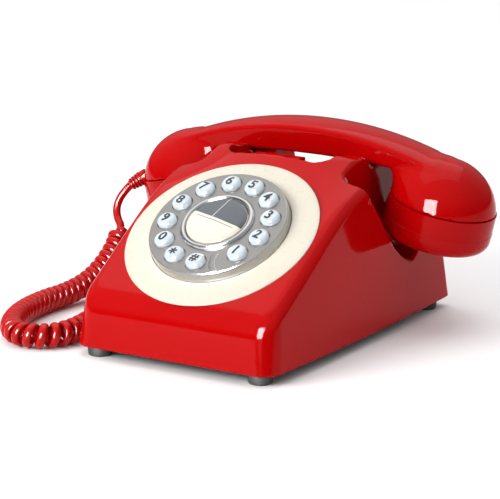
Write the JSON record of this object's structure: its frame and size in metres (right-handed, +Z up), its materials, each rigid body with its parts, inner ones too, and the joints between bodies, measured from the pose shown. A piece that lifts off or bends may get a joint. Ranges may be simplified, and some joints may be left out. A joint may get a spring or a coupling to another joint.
{
  "type": "telephone",
  "caption": "Push-button desk telephone: wedge-shaped case, round dial of domed keys, arched handset lying across the cradle and a curly handset cord.",
  "frame": {"origin": "on the surface the telephone stands on, under the middle of its outline without the handset cord", "axes": "+X to the telephone's right seen from the front, along the handset; +Y to the rear; +Z up"},
  "size_m": [0.2428, 0.2043, 0.111],
  "materials": {
    "red_plastic": "high gloss, through-coloured moulding",
    "cream_plastic": "satin gloss",
    "key_plastic": "pearl white, high gloss",
    "chrome": "bright plated",
    "fascia_metal": "satin silver",
    "steel": "zinc plated",
    "black_rubber": "matt",
    "grey_silicone": "matt",
    "black_plastic": "fine texture",
    "red_cord": "soft glossy PVC",
    "circuit_board": "solder resist",
    "bell_metal": "spun, lightly polished",
    "copper_coil": "enamelled winding",
    "label_card": "printed disc under clear lacquer",
    "clear_plastic": "clear moulding"
  },
  "bodies": {
    "base": {"case_shell": "red_plastic", "base_plate": "black_plastic", "rubber_feet": "black_rubber", "base_screws": "steel", "dial_ring": "cream_plastic", "dial_plate": "fascia_metal", "centre_ring": "chrome", "finger_stop": "chrome", "key_membrane": "grey_silicone", "keypad_board": "circuit_board", "dial_screws": "steel", "dial_housing": "black_plastic", "hook_spring": "steel", "hook_switch": "black_plastic", "main_board": "circuit_board", "ballast_plate": "steel", "gong_left": "bell_metal", "gong_right": "bell_metal", "gong_posts": "steel", "gong_screws": "steel", "ringer_frame": "steel", "ringer_coil": "copper_coil", "clapper_pin": "steel", "handset_socket": "black_plastic", "line_socket": "black_plastic", "ringer_switch": "black_plastic", "cord_coil": "red_cord", "cord_tail": "red_cord", "cord_plug": "clear_plastic"},
    "handset": {"handset_shell": "red_plastic", "ear_cap": "red_plastic", "mouth_cap": "red_plastic", "ear_capsule": "black_plastic", "mouth_capsule": "black_plastic", "handset_weight": "steel", "strain_relief": "red_cord", "cord_lead": "red_cord"},
    "hook": {"hook_bar": "red_plastic"},
    "clapper": {"clapper": "steel"},
    "switch_knob": {"switch_knob": "black_plastic"},
    "redial": {"redial_button": "cream_plastic", "redial_label": "label_card"},
    "key_1": {"key_1": "key_plastic"},
    "key_2": {"key_2": "key_plastic"},
    "key_3": {"key_3": "key_plastic"},
    "key_4": {"key_4": "key_plastic"},
    "key_5": {"key_5": "key_plastic"},
    "key_6": {"key_6": "key_plastic"},
    "key_7": {"key_7": "key_plastic"},
    "key_8": {"key_8": "key_plastic"},
    "key_9": {"key_9": "key_plastic"},
    "key_0": {"key_0": "key_plastic"},
    "key_star": {"key_star": "key_plastic"},
    "key_hash": {"key_hash": "key_plastic"}
  },
  "joints": [
    {"name": "handset_lift", "type": "slide", "parent": "base", "child": "handset", "axis": [0, 0, 1], "range_m": [0, 0.12]},
    {"name": "hook_travel", "type": "slide", "parent": "base", "child": "hook", "axis": [0, 0, 1], "range_m": [0, 0.004], "deforming": ["hook_spring"]},
    {"name": "clapper_swing", "type": "hinge", "parent": "base", "child": "clapper", "pos_m": [0, -0.014, 0.026], "axis": [0, 0, 1], "range_deg": [-4, 4]},
    {"name": "ringer_switch_slide", "type": "slide", "parent": "base", "child": "switch_knob", "axis": [1, 0, 0], "range_m": [-0.0035, 0.0035]},
    {"name": "redial_press", "type": "slide", "parent": "base", "child": "redial", "axis": [0, -0.5255, 0.8508], "range_m": [-0.0015, 0], "stiffness_N_per_m": 400, "springref_m": 0.001},
    {"name": "key_1_press", "type": "slide", "parent": "base", "child": "key_1", "axis": [0, -0.5255, 0.8508], "range_m": [-0.0015, 0], "stiffness_N_per_m": 300, "springref_m": 0.001},
    {"name": "key_2_press", "type": "slide", "parent": "base", "child": "key_2", "axis": [0, -0.5255, 0.8508], "range_m": [-0.0015, 0], "stiffness_N_per_m": 300, "springref_m": 0.001},
    {"name": "key_3_press", "type": "slide", "parent": "base", "child": "key_3", "axis": [0, -0.5255, 0.8508], "range_m": [-0.0015, 0], "stiffness_N_per_m": 300, "springref_m": 0.001},
    {"name": "key_4_press", "type": "slide", "parent": "base", "child": "key_4", "axis": [0, -0.5255, 0.8508], "range_m": [-0.0015, 0], "stiffness_N_per_m": 300, "springref_m": 0.001},
    {"name": "key_5_press", "type": "slide", "parent": "base", "child": "key_5", "axis": [0, -0.5255, 0.8508], "range_m": [-0.0015, 0], "stiffness_N_per_m": 300, "springref_m": 0.001},
    {"name": "key_6_press", "type": "slide", "parent": "base", "child": "key_6", "axis": [0, -0.5255, 0.8508], "range_m": [-0.0015, 0], "stiffness_N_per_m": 300, "springref_m": 0.001},
    {"name": "key_7_press", "type": "slide", "parent": "base", "child": "key_7", "axis": [0, -0.5255, 0.8508], "range_m": [-0.0015, 0], "stiffness_N_per_m": 300, "springref_m": 0.001},
    {"name": "key_8_press", "type": "slide", "parent": "base", "child": "key_8", "axis": [0, -0.5255, 0.8508], "range_m": [-0.0015, 0], "stiffness_N_per_m": 300, "springref_m": 0.001},
    {"name": "key_9_press", "type": "slide", "parent": "base", "child": "key_9", "axis": [0, -0.5255, 0.8508], "range_m": [-0.0015, 0], "stiffness_N_per_m": 300, "springref_m": 0.001},
    {"name": "key_0_press", "type": "slide", "parent": "base", "child": "key_0", "axis": [0, -0.5255, 0.8508], "range_m": [-0.0015, 0], "stiffness_N_per_m": 300, "springref_m": 0.001},
    {"name": "key_star_press", "type": "slide", "parent": "base", "child": "key_star", "axis": [0, -0.5255, 0.8508], "range_m": [-0.0015, 0], "stiffness_N_per_m": 300, "springref_m": 0.001},
    {"name": "key_hash_press", "type": "slide", "parent": "base", "child": "key_hash", "axis": [0, -0.5255, 0.8508], "range_m": [-0.0015, 0], "stiffness_N_per_m": 300, "springref_m": 0.001}
  ],
  "couplings": [
    {"joint": "hook_travel", "follows": "handset_lift", "ratio": 0.033333}
  ]
}
